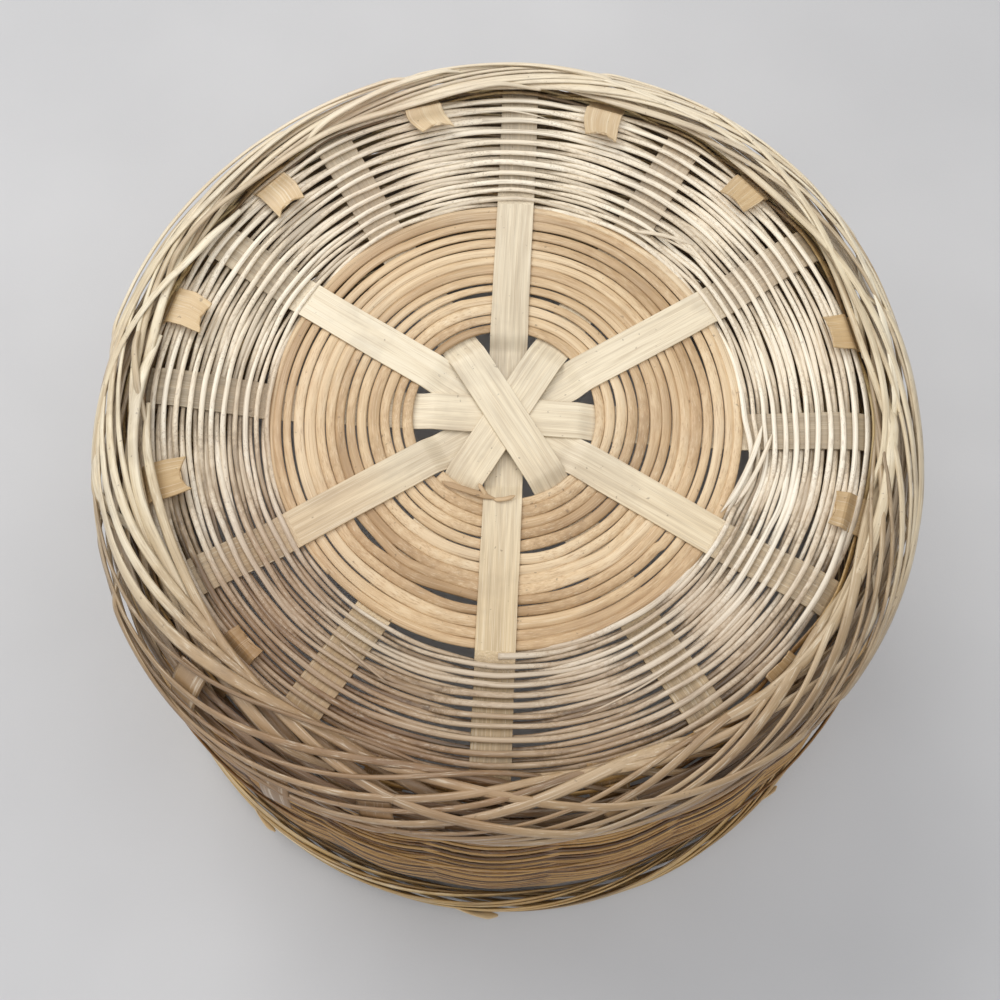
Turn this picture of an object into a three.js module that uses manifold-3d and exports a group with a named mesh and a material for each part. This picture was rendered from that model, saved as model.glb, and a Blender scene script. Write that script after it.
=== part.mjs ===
// A round wicker wastebasket, turned over: it stands on its mouth and shows its base.
// Millimetres, +Z up, origin on the floor under the middle of the basket.
import * as THREE from 'three';
import Module from 'manifold-3d';

const wasm = await Module();
wasm.setup();

// The run of the stakes, from the middle of the base to the mouth.
const crownHeight = 176; // the stakes' highest stretch, just inside the foot border
const discSink = 6; // how much lower the middle of the base lies
const discRadius = 71; // the disc woven in wide reed
const crownRadius = 103;
const riseReach = 11; // how softly the base rises from the disc to the crown
const shoulderReach = 17; // how softly the stakes turn down into the wall
const bellyHeight = 140; // height at which the wall has nearly its full width
const mouthRadius = 137.5;

// Splints and reed.
const clearance = 0.3;
const stripWidth = 11;
const stripThickness = 0.8;
const unstackLength = 5; // in which a strip leaves the stack for its place over or under the reed
const settleLength = 7; // from the disc's edge until it lies in the middle of the weave
const stripCount = 6; // each crosses the base, so it makes two spokes
const stripLean = [-4, 0, -2.5, -2.5, 1.5, -2]; // degrees that each lies off an even star
const reedWidth = 3;
const reedThickness = 0.8;
const rodThickness = 1.4; // the thin round weavers of the base and wall
const courseHeight = 13; // one bundle of weaver turns, seen as one band
const courseLap = 0.4; // how far neighbouring bands reach into one another where they cross
const baseBends = 2; // bends of a band between two spokes
const wallLengths = 3; // weaver lengths, one above another
const tabLength = 9; // bent-over end of each side stake
const tabCurl = 3.2; // how far its tip lifts off the base
const tabRun = 3; // length in which the stake comes out through the weave
const shortestStep = 1; // between two points of a stake's line
const bendSteps = 3; // straight pieces in each short bend of a strip or stake
const stationError = 0.001; // allowed where a place on the profile is searched for

// The two borders, each of strands that wind round one another.
const borderStrands = 6;
const borderWaves = 3;
const strandThickness = 1.6;
const footStrandWidth = 2.4;
const footBorderHalf = 7.5; // half of the strands' swing, along the basket
const footBorderDepth = 2.2; // half of their swing, off the basket
const footBorderOut = 8.6; // from the crown out to the middle of the foot border
const rimStrandWidth = 3.4;
const rimBorderHalf = 7;
const rimBorderDepth = 3.6;
const rimBorderHeight = 9.6;
const rimHoopHeight = 14;
const waveSteps = 14; // straight pieces in one wave of a strand
const hoopFlats = 48; // straight pieces round the rim hoop

// What follows from these.
const radians = THREE.MathUtils.degToRad;
const discHeight = crownHeight - discSink;
const spokeAngle = 180 / stripCount;
const spokes = Array.from({ length: 2 * stripCount + 1 }, (_, i) => {
  return i * spokeAngle + (stripLean[i % stripCount] ?? 0);
});
const closestSpokes = Math.min(...spokes.slice(1).map((angle, i) => angle - spokes[i]));
const weaveSwing = stripThickness / 2 + clearance + rodThickness / 2; // of a band, off the stakes
const weaveHalf = weaveSwing + rodThickness / 2;
const layerPitch = stripThickness + clearance;
const spokeOffset = (stripThickness + reedThickness) / 2 + clearance;
const stackRadius = stripWidth / 2 / Math.sin(radians(closestSpokes / 2));
const eyeRadius = stackRadius + unstackLength;
const borderSteps = waveSteps * borderWaves;
const borderSag = mouthRadius * (1 - Math.cos(Math.PI / borderSteps)); // of a strand's flats
const borderInside = weaveHalf + clearance + borderSag;

const upAxis = new THREE.Vector3(0, 0, 1);
const point2 = (x, y) => new THREE.Vector2(x, y);

// The middle of the stakes' thickness, in the plane of radius and height.
const spine = new THREE.CurvePath();
spine.add(new THREE.LineCurve(point2(0, discHeight), point2(discRadius, discHeight)));
spine.add(new THREE.CubicBezierCurve(
  point2(discRadius, discHeight),
  point2(discRadius + riseReach, discHeight),
  point2(crownRadius - riseReach, crownHeight),
  point2(crownRadius, crownHeight),
));
spine.add(new THREE.CubicBezierCurve(
  point2(crownRadius, crownHeight),
  point2(crownRadius + shoulderReach, crownHeight),
  point2(mouthRadius, bellyHeight),
  point2(mouthRadius, 0),
));
const [discStation, crownStation, mouthStation] = spine.getCurveLengths();

// A station is the distance along the spine; an offset is the distance outwards from it.
function onSpine(station, offset) {
  const share = THREE.MathUtils.clamp(station / mouthStation, 0, 1);
  const along = spine.getTangent(share);
  return spine.getPoint(share).add(point2(-along.y, along.x).multiplyScalar(offset));
}

function outwards(station, angle) {
  const along = spine.getTangent(THREE.MathUtils.clamp(station / mouthStation, 0, 1));
  return new THREE.Vector3(-along.y * Math.cos(angle), -along.y * Math.sin(angle), along.x);
}

function place(station, angle, offset) {
  const { x, y } = onSpine(station, offset);
  return new THREE.Vector3(x * Math.cos(angle), x * Math.sin(angle), y);
}

// The station at which a measure of the spine's point first passes a value.
function stationWhere(measure, value) {
  let low = 0;
  let high = mouthStation;
  while (high - low > stationError) {
    const middle = (low + high) / 2;
    if (measure(onSpine(middle, 0)) < value) low = middle;
    else high = middle;
  }
  return low;
}

const dropBelowCrown = (point) => (point.x < crownRadius ? 0 : crownHeight - point.y);
const stationAtRadius = (radius) => stationWhere((point) => point.x, radius);
const stationAtHeight = (height) => stationWhere(dropBelowCrown, crownHeight - height);
const smooth = THREE.MathUtils.smoothstep;

function spread(from, to, steps) {
  return Array.from({ length: steps + 1 }, (_, i) => from + ((to - from) * i) / steps);
}

const basket = new THREE.Group();

function add(name, geometry, color, roughness = 0.75) {
  const material = new THREE.MeshStandardMaterial({ color, roughness, metalness: 0 });
  const mesh = new THREE.Mesh(geometry, material);
  mesh.name = name;
  basket.add(mesh);
}

// A splint lying in one upright plane: its centre line is [radius, height] points.
function splint(line, thickness, width, angle) {
  const side = (sign) => line.map((point, i) => {
    const along = line[Math.min(i + 1, line.length - 1)].clone().sub(line[Math.max(i - 1, 0)]).normalize();
    return point.clone().add(point2(-along.y, along.x).multiplyScalar((sign * thickness) / 2));
  });
  const outline = new THREE.Shape([...side(-1), ...side(1).reverse()]);
  const geometry = new THREE.ExtrudeGeometry(outline, { depth: width, bevelEnabled: false });
  return geometry.translate(0, 0, -width / 2).rotateX(Math.PI / 2).rotateZ(radians(angle));
}

// A solid through rings of four corners: near and far edge outside, then far and near edge inside.
function tube(rings, closed) {
  const count = rings.length;
  const triangles = [];
  for (let i = 0; i < (closed ? count : count - 1); i += 1) {
    const here = 4 * i;
    const next = 4 * ((i + 1) % count);
    for (let k = 0; k < 4; k += 1) {
      const m = (k + 1) % 4;
      triangles.push(here + k, here + m, next + m, here + k, next + m, next + k);
    }
  }
  if (!closed) {
    const last = 4 * (count - 1);
    triangles.push(0, 2, 1, 0, 3, 2, last, last + 1, last + 2, last, last + 2, last + 3);
  }
  const geometry = new THREE.BufferGeometry();
  geometry.setFromPoints(rings.flat());
  geometry.setIndex(triangles);
  return geometry;
}

// A rectangular strand swept along points on the basket, its flat side facing outwards.
function strand(places, width, thickness, closed) {
  const centres = places.map(([station, angle, offset]) => place(station, angle, offset));
  const count = centres.length;
  const rings = centres.map((centre, i) => {
    const after = closed ? (i + 1) % count : Math.min(i + 1, count - 1);
    const before = closed ? (i + count - 1) % count : Math.max(i - 1, 0);
    const along = centres[after].clone().sub(centres[before]).normalize();
    const across = outwards(places[i][0], places[i][1]).cross(along).normalize();
    const up = along.clone().cross(across);
    return [[1, 1], [-1, 1], [-1, -1], [1, -1]].map(([a, u]) => {
      return centre.clone().addScaledVector(across, (a * width) / 2).addScaledVector(up, (u * thickness) / 2);
    });
  });
  return tube(rings, closed);
}

// Where the side stakes come out, just inside the foot border.
const footBorderStation = stationAtRadius(crownRadius + footBorderOut);
const tabStart = footBorderStation - footBorderHalf - footStrandWidth / 2 - clearance;
const tabEnd = tabStart - tabRun;

// The weave's lengths, each of several courses. The strips and stakes bend where two courses meet.
const baseLength = [discStation + clearance, tabEnd - clearance];
const wallEnd = stationAtHeight(rimHoopHeight + clearance);
const wallEdges = spread(tabEnd, wallEnd, wallLengths);
const wallSpans = wallEdges.slice(1).map((edge, i) => [wallEdges[i] + clearance / 2, edge - clearance / 2]);
const courseEdges = ([from, to]) => {
  const pairs = Math.round((to - from) / courseHeight / 2);
  return spread(from, to, 2 * Math.max(1, pairs));
};
const spineStations = [discStation, ...[baseLength, ...wallSpans].flatMap(courseEdges), mouthStation];

// Base strips: they cross in a stack, run over or under the disc's reed, then enter the weave.
function stripLine(level, over) {
  const stackOffset = (level - (stripCount - 1) / 2) * layerPitch;
  const reedOffset = over ? spokeOffset : -spokeOffset;
  const offsetAt = (station) => {
    const unstacked = smooth(station, stackRadius, eyeRadius);
    const settled = smooth(station, discStation, discStation + settleLength);
    return stackOffset * (1 - unstacked) + reedOffset * (unstacked - settled);
  };
  const stations = [...spread(stackRadius, eyeRadius, bendSteps), ...spineStations];
  const half = stations.map((station) => onSpine(station, offsetAt(station)));
  return [...half.map(({ x, y }) => point2(-x, y)).reverse(), ...half];
}

// Levels from the bottom of the stack up, with the spoke's direction in degrees.
const stripOrder = [3, 1, 5, 0, 2, 4];
const strips = stripOrder.map((turn, level) => ({
  angle: spokes[turn],
  line: stripLine(level, turn % 2 === 1),
}));

// Side stakes: pushed in between the strips, and bent over where they come out.
const tabOffset = weaveHalf + clearance + stripThickness / 2;

function stakeLine() {
  const tab = spread(1, 0, bendSteps).slice(0, -1).map((share) => {
    return onSpine(tabEnd - tabLength * share, tabOffset + tabCurl * share ** 2);
  });
  const rising = spread(tabEnd, tabStart, bendSteps).map((station) => {
    return onSpine(station, tabOffset * (1 - smooth(station, tabEnd, tabStart)));
  });
  const below = spineStations.filter((station) => station > tabStart + shortestStep);
  return [...tab, ...rising, ...below.map((station) => onSpine(station, 0))];
}

const stakeAngles = spokes.slice(1).map((angle, i) => (angle + spokes[i]) / 2);

strips.forEach(({ angle, line }, i) => {
  add(`base_strip_${i + 1}`, splint(line, stripThickness, stripWidth, angle), 0xd9c49a);
});
stakeAngles.forEach((angle, i) => {
  add(`side_stake_${i + 1}`, splint(stakeLine(), stripThickness, stripWidth, angle), 0xdcbc83);
});

// The disc's wide reed, one spiral from the eye to the disc's edge.
const reedPitch = reedWidth + clearance;
const reedTurns = (discRadius - eyeRadius - reedWidth) / reedPitch;
const reedStepsPerTurn = 18;
const reedSteps = Math.floor(reedTurns * reedStepsPerTurn);
const reedPlaces = spread(0, reedTurns, reedSteps)
  .map((turn) => [eyeRadius + reedWidth / 2 + turn * reedPitch, turn * 2 * Math.PI, 0]);
add('disc_weaver', strand(reedPlaces, reedWidth, reedThickness, false), 0xcda679);

// One course of the weave: a band of weaver turns, outside one upright and inside the next.
function course(from, to, uprights, side, bends) {
  const half = stripWidth / 2 + clearance;
  const section = (middle) => {
    const [outer, inner] = [middle + rodThickness / 2, middle - rodThickness / 2];
    return [[from, outer], [to, outer], [to, inner], [from, inner]];
  };
  const rings = uprights.slice(0, -1).flatMap((angle, i) => {
    const swing = (i % 2 === 0 ? side : -side) * weaveSwing;
    const flats = [-half, half].map((aside) => section(swing).map(([station, offset]) => {
      const { x, y } = onSpine(station, offset);
      return new THREE.Vector3(x, aside, y).applyAxisAngle(upAxis, radians(angle));
    }));
    const crossing = spread(0, 1, bends + 1).slice(1, -1).map((share) => {
      const there = radians(angle + (uprights[i + 1] - angle) * share);
      return section(swing * (1 - 2 * share)).map(([station, offset]) => place(station, there, offset));
    });
    return [...flats, ...crossing];
  });
  return tube(rings, true);
}

function toSolid(geometry) {
  return new wasm.Manifold(new wasm.Mesh({
    numProp: 3,
    vertProperties: new Float32Array(geometry.attributes.position.array),
    triVerts: new Uint32Array(geometry.index.array),
  }));
}

function toGeometry(solid) {
  const mesh = solid.getMesh();
  const geometry = new THREE.BufferGeometry();
  geometry.setAttribute('position', new THREE.BufferAttribute(mesh.vertProperties, 3));
  geometry.setIndex(new THREE.BufferAttribute(mesh.triVerts, 1));
  return geometry;
}

// A length of weave: its courses take turns, and are joined where they cross between uprights.
function wovenLength(span, uprights, bends) {
  const edges = courseEdges(span);
  const courses = edges.slice(1).map((edge, i) => {
    const from = i === 0 ? edges[i] : edges[i] - courseLap / 2;
    const to = i === edges.length - 2 ? edge : edge + courseLap / 2;
    return toSolid(course(from, to, uprights, i % 2 === 0 ? 1 : -1, bends));
  });
  return toGeometry(wasm.Manifold.union(courses));
}

const uprightAngles = spokes.flatMap((angle, i) => [angle, stakeAngles[i]]).slice(0, -1);
add('base_weave', wovenLength(baseLength, spokes, baseBends), 0xb9a888);
wallSpans.forEach((span, i) => {
  add(`wall_weave_${i + 1}`, wovenLength(span, uprightAngles, 0), 0xb89f78);
});

// The rim hoop: a flat splint bent round the stakes' ends. The basket stands on its edge.
const hoopStations = [stationAtHeight(rimHoopHeight), mouthStation];
const hoopInside = hoopStations.map((station) => onSpine(station, stripThickness / 2 + clearance));
hoopInside.forEach((point) => point.setX(point.x / Math.cos(Math.PI / hoopFlats))); // so its flats clear
const hoopOutside = hoopStations.map((station) => onSpine(station, weaveHalf));
const hoopProfile = [...hoopOutside, ...hoopInside.reverse()];
hoopProfile.push(hoopProfile[0].clone());
const rimHoop = new THREE.LatheGeometry(hoopProfile.reverse(), hoopFlats).rotateX(Math.PI / 2);
add('rim_hoop', rimHoop, 0xc39a5c);

// Borders: each strand swings along and off the basket, so that it winds over and under the others.
const borders = [{
  name: 'foot_border_strand',
  station: footBorderStation,
  half: footBorderHalf,
  depth: footBorderDepth,
  width: footStrandWidth,
  color: 0xc9b182,
}, {
  name: 'rim_border_strand',
  station: stationAtHeight(rimBorderHeight),
  half: rimBorderHalf,
  depth: rimBorderDepth,
  width: rimStrandWidth,
  color: 0xb88f52,
}];

function borderStrand({ station, half, depth, width }, index) {
  const middle = borderInside + strandThickness / 2 + depth;
  const places = spread(0, 2 * Math.PI, borderSteps).slice(0, -1).map((angle) => {
    const phase = borderWaves * angle + (2 * Math.PI * index) / borderStrands;
    return [station + half * Math.cos(phase), angle, middle + depth * Math.sin(phase)];
  });
  return strand(places, width, strandThickness, true);
}

borders.forEach((border) => {
  for (let i = 0; i < borderStrands; i += 1) {
    add(`${border.name}_${i + 1}`, borderStrand(border, i), border.color);
  }
});

export default basket;
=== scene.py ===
import math

import bpy
import numpy as np
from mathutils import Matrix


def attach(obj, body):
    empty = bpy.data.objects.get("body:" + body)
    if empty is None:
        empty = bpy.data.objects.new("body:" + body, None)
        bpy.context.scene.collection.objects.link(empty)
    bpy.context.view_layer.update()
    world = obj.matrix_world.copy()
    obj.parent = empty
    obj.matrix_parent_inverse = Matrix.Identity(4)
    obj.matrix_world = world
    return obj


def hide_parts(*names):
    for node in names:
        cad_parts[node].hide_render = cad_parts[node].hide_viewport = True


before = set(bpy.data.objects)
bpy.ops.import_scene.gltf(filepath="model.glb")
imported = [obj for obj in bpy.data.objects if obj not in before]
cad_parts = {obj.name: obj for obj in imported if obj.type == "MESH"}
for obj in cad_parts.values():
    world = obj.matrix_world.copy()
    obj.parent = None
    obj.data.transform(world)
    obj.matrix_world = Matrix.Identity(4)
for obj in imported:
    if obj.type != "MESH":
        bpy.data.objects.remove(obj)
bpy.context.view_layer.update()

mm = 0.001

# The stakes' run from the middle of the base to the mouth, as the frame has it
basketForm = {
    "crownHeight": 176 * mm,
    "discSink": 6 * mm,
    "discRadius": 71 * mm,
    "crownRadius": 103 * mm,
    "riseReach": 11 * mm,
    "shoulderReach": 17 * mm,
    "bellyHeight": 140 * mm,
    "mouthRadius": 137.5 * mm,
    "spokeCount": 12,
    "spokeLean": [-4, 0, -2.5, -2.5, 1.5, -2],
    "levelOrder": [3, 1, 5, 0, 2, 4],
    "footBorderRadius": 111.6 * mm,
    "rimBorderHeight": 9.6 * mm,
    "borderStrands": 6,
    "samples": {"disc": 60, "rise": 200, "wall": 600},
}


def cubicPoints(a, b, c, d, steps):
    t = np.linspace(0, 1, steps)[:, None]
    a, b, c, d = (np.array(point, float) for point in (a, b, c, d))
    return a * (1 - t) ** 3 + 3 * b * t * (1 - t) ** 2 + 3 * c * t * t * (1 - t) + d * t ** 3


def layOutSpine(form):
    samples = form["samples"]
    discHeight = form["crownHeight"] - form["discSink"]
    flat = np.array([[r, discHeight] for r in np.linspace(0, form["discRadius"], samples["disc"])])
    rise = cubicPoints(
        (form["discRadius"], discHeight),
        (form["discRadius"] + form["riseReach"], discHeight),
        (form["crownRadius"] - form["riseReach"], form["crownHeight"]),
        (form["crownRadius"], form["crownHeight"]), samples["rise"])
    wall = cubicPoints(
        (form["crownRadius"], form["crownHeight"]),
        (form["crownRadius"] + form["shoulderReach"], form["crownHeight"]),
        (form["mouthRadius"], form["bellyHeight"]),
        (form["mouthRadius"], 0), samples["wall"])
    points = np.vstack([flat, rise[1:], wall[1:]])
    stations = np.concatenate([[0], np.cumsum(np.hypot(*np.diff(points, axis=0).T))])
    along = np.gradient(points, axis=0)
    along /= np.hypot(*along.T)[:, None]
    return points, stations, along


spinePoints, spineStations, spineAlong = layOutSpine(basketForm)
mouthStation = spineStations[-1]
crownStation = float(np.interp(basketForm["crownRadius"], spinePoints[:, 0], spineStations))


def spineAt(station, offset):
    radius = np.interp(station, spineStations, spinePoints[:, 0])
    height = np.interp(station, spineStations, spinePoints[:, 1])
    alongR = np.interp(station, spineStations, spineAlong[:, 0])
    alongZ = np.interp(station, spineStations, spineAlong[:, 1])
    return radius - alongZ * offset, height + alongR * offset


def onBasket(station, angle, offset):
    radius, height = spineAt(station, offset)
    return np.stack([radius * np.cos(angle), radius * np.sin(angle), height], axis=-1)


def outwardAt(station, angle):
    alongR = np.interp(station, spineStations, spineAlong[:, 0])
    alongZ = np.interp(station, spineStations, spineAlong[:, 1])
    return np.stack([-alongZ * np.cos(angle), -alongZ * np.sin(angle), alongR], axis=-1)


footStation = float(np.interp(basketForm["footBorderRadius"], spinePoints[:, 0], spineStations))
rimStation = mouthStation - basketForm["rimBorderHeight"]
spokeCount = basketForm["spokeCount"]
spokeLean = basketForm["spokeLean"]
spokes = np.array([360 / spokeCount * i + spokeLean[i % len(spokeLean)] for i in range(spokeCount + 1)])
stakes = (spokes[1:] + spokes[:-1]) / 2


# Slow random swings, the same on every run
def wander(seed, x, waves, strength=1.0):
    rng = np.random.RandomState(seed)
    total = np.zeros_like(np.asarray(x, float))
    for wave in waves:
        total += rng.uniform(0.6, 1.0) * np.sin(wave * rng.uniform(0.85, 1.15) * x + rng.uniform(0, 2 * math.pi))
    return strength * total / math.sqrt(len(waves))


def smoothStep(x, low, high):
    t = np.clip((np.asarray(x, float) - low) / (high - low), 0, 1)
    return t * t * (3 - 2 * t)


# Rows pushed apart round a spot, so that a gap opens between two of them. Each gap has its station in mm, its place
# and half its span in degrees, then in mm how far off rows still move, and the push inwards and outwards
def partRows(station, angle, gaps):
    shift = np.zeros_like(station)
    for middle, place, span, reach, inner, outer in gaps:
        turned = np.abs((np.degrees(angle) - place + 180) % 360 - 180) / span
        near = np.exp(-np.abs(station - middle * mm) / (reach * mm))
        side = np.where(station > middle * mm, outer * mm, -inner * mm)
        shift += side * near * (1 - smoothStep(turned, 0.1, 1))
    return station + shift


# Shader maths: a socket that plain expressions can be written with
class Socket:
    def __init__(self, graph, socket):
        self.graph = graph
        self.socket = socket

    def maths(self, operation, first, second):
        return self.graph.make("ShaderNodeMath", {"operation": operation}, {0: first, 1: second})

    def __add__(self, other):
        return self.maths("ADD", self, other)

    def __radd__(self, other):
        return self.maths("ADD", other, self)

    def __sub__(self, other):
        return self.maths("SUBTRACT", self, other)

    def __rsub__(self, other):
        return self.maths("SUBTRACT", other, self)

    def __mul__(self, other):
        return self.maths("MULTIPLY", self, other)

    def __rmul__(self, other):
        return self.maths("MULTIPLY", other, self)


class Graph:
    def __init__(self, name):
        self.material = bpy.data.materials.new(name)
        self.material.use_nodes = True
        self.tree = self.material.node_tree
        self.tree.nodes.clear()

    def make(self, kind, settings=None, inputs=None, output=0):
        node = self.tree.nodes.new(kind)
        for key, value in (settings or {}).items():
            if key == "stops":
                ramp = node.color_ramp
                while len(ramp.elements) < len(value):
                    ramp.elements.new(0.5)
                for element, (place, colour) in zip(ramp.elements, value):
                    element.position = place
                    element.color = (*colour, 1)
            else:
                setattr(node, key, value)
        for key, value in (inputs or {}).items():
            if isinstance(value, Socket):
                self.tree.links.new(value.socket, node.inputs[key])
            else:
                node.inputs[key].default_value = value
        return Socket(self, node.outputs[output]) if node.outputs else None

    def blend(self, share, first, second, how="MIX"):
        first = first if isinstance(first, Socket) else (*first, 1)
        second = second if isinstance(second, Socket) else (*second, 1)
        settings = {"data_type": "RGBA", "blend_type": how}
        return self.make("ShaderNodeMix", settings, {0: share, 6: first, 7: second}, 2)

    def band(self, value, low, high):
        return self.make("ShaderNodeMapRange", {"interpolation_type": "SMOOTHSTEP"}, {0: value, 1: low, 2: high})

    def noise(self, vector, scale, detail=3.0, roughness=0.55):
        return self.make("ShaderNodeTexNoise", {"noise_dimensions": "3D"}, {
            "Vector": vector, "Scale": scale, "Detail": detail, "Roughness": roughness})

    def vector(self, x, y, z):
        return self.make("ShaderNodeCombineXYZ", {}, {0: x, 1: y, 2: z})

    def finish(self, colour, roughness, normal, coat, coatRoughness):
        shader = self.make("ShaderNodeBsdfPrincipled", {}, {
            "Base Color": colour, "Roughness": roughness, "Normal": normal,
            "Coat Weight": coat, "Coat Roughness": coatRoughness, "Specular IOR Level": 0.45})
        self.make("ShaderNodeOutputMaterial", {}, {"Surface": shader})
        return self.material


# Split bamboo and reed: streaks and fibres run along each strand by its own UV map
def bambooMaterial(name, look):
    graph = Graph(name)
    uv = graph.make("ShaderNodeUVMap", {"uv_map": "strand"})
    u = graph.make("ShaderNodeSeparateXYZ", {}, {0: uv}, 0)
    v = graph.make("ShaderNodeSeparateXYZ", {}, {0: uv}, 1)
    tone = graph.make("ShaderNodeAttribute", {"attribute_name": "tone"}, {}, 2)
    place = graph.make("ShaderNodeTexCoord", {}, {}, 3)
    front = graph.make("ShaderNodeSeparateXYZ", {}, {0: place}, 1) * -1.0
    fibreSpace = graph.vector(u * look["fibreAlong"], v * look["fibreAcross"], tone * look["fibreShift"])
    streakSpace = graph.vector(u * look["streakAlong"], v * look["streakAcross"], tone * look["streakShift"])
    fibre = graph.noise(fibreSpace, 1.0, 4.0, 0.65)
    streak = graph.noise(streakSpace, 1.0, 2.0)
    patch = graph.noise(place, look["patchScale"], 4.0, 0.6)
    broad = graph.noise(place, look["broadScale"], 2.0)
    mottle = graph.noise(place, look["mottleScale"], 2.0)
    shade = tone * look["toneShare"] + streak * look["streakShare"] - look["shadeDrop"]
    colour = graph.make("ShaderNodeValToRGB", {"stops": look["tones"]}, {0: shade})
    greyed = graph.band(patch, look["greyFrom"], look["greyFrom"] + look["greyFade"]) * look["grey"]
    colour = graph.blend(greyed, colour, look["greyColour"])
    blush = graph.band(broad, *look["blushBand"]) * look["blush"]
    colour = graph.blend(blush, colour, look["blushColour"])
    ragged = front + broad * look["raggedEdge"]
    # Painted light: the colour turns paler towards the back
    paintedLightShare = graph.band(ragged, look["bleachFrom"], look["bleachFrom"] - look["paintedLightFade"]) * look["bleach"]
    colour = graph.blend(paintedLightShare, colour, look["bleachColour"])
    # Painted shade: the colour darkens towards the front
    stain = graph.band(ragged, look["stainFrom"], look["stainFrom"] + look["stainFade"]) * look["stain"]
    colour = graph.blend(stain, colour, look["stainColour"], "MULTIPLY")
    lines = graph.band(fibre, *look["lineBand"]) * look["lines"]
    colour = graph.blend(lines, colour, look["lineColour"])
    pale = graph.band(fibre, *look["paleBand"]) * look["pale"]
    colour = graph.blend(pale, colour, look["paleColour"])
    specks = graph.band(mottle, *look["speckBand"]) * look["specks"]
    colour = graph.blend(specks, colour, look["speckColour"])
    roughness = look["roughness"] + fibre * look["fibreRough"] + greyed * look["greyRough"]
    height = fibre + streak * look["streakRelief"]
    relief = graph.make("ShaderNodeBump", {}, {"Strength": 0.8, "Distance": look["relief"], "Height": height})
    return graph.finish(colour, roughness, relief, look["coat"], look["coatRoughness"])


# Each layer's share, its colour and where it starts. The painted shade grows towards the front, the painted light
# towards the back
bambooLook = {
    "fibreAlong": 120.0, "fibreAcross": 10.0, "fibreShift": 37.0,
    "streakAlong": 34.0, "streakAcross": 2.0, "streakShift": 23.0,
    "patchScale": 34.0, "broadScale": 11.0, "mottleScale": 520.0,
    "toneShare": 0.8, "streakShare": 0.7, "shadeDrop": 0.25,
    "greyFrom": 0.5, "greyFade": 0.12, "grey": 0.5, "greyColour": (0.33, 0.27, 0.21),
    "blush": 0.35, "blushBand": (0.5, 0.66), "blushColour": (0.62, 0.42, 0.27),
    "raggedEdge": 0.09, "stainFrom": 0.03, "stainFade": 0.11, "stain": 0.75, "stainColour": (0.52, 0.4, 0.29),
    "bleachFrom": 0.0, "paintedLightFade": 0.08, "bleach": 0.3, "bleachColour": (0.84, 0.75, 0.6),
    "lines": 0.55, "lineBand": (0.5, 0.68), "lineColour": (0.26, 0.17, 0.09),
    "pale": 0.5, "paleBand": (0.47, 0.3), "paleColour": (0.86, 0.78, 0.62),
    "specks": 0.5, "speckBand": (0.69, 0.76), "speckColour": (0.14, 0.085, 0.05),
    "roughness": 0.3, "fibreRough": 0.25, "greyRough": 0.15, "coat": 0.2, "coatRoughness": 0.28,
    "relief": 0.16 * mm, "streakRelief": 0.4,
    "tones": [(0.0, (0.22, 0.15, 0.09)), (0.3, (0.42, 0.32, 0.2)),
              (0.6, (0.64, 0.53, 0.37)), (1.0, (0.84, 0.76, 0.6))],
}


def lookOf(**changes):
    return {**bambooLook, **changes}


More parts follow.
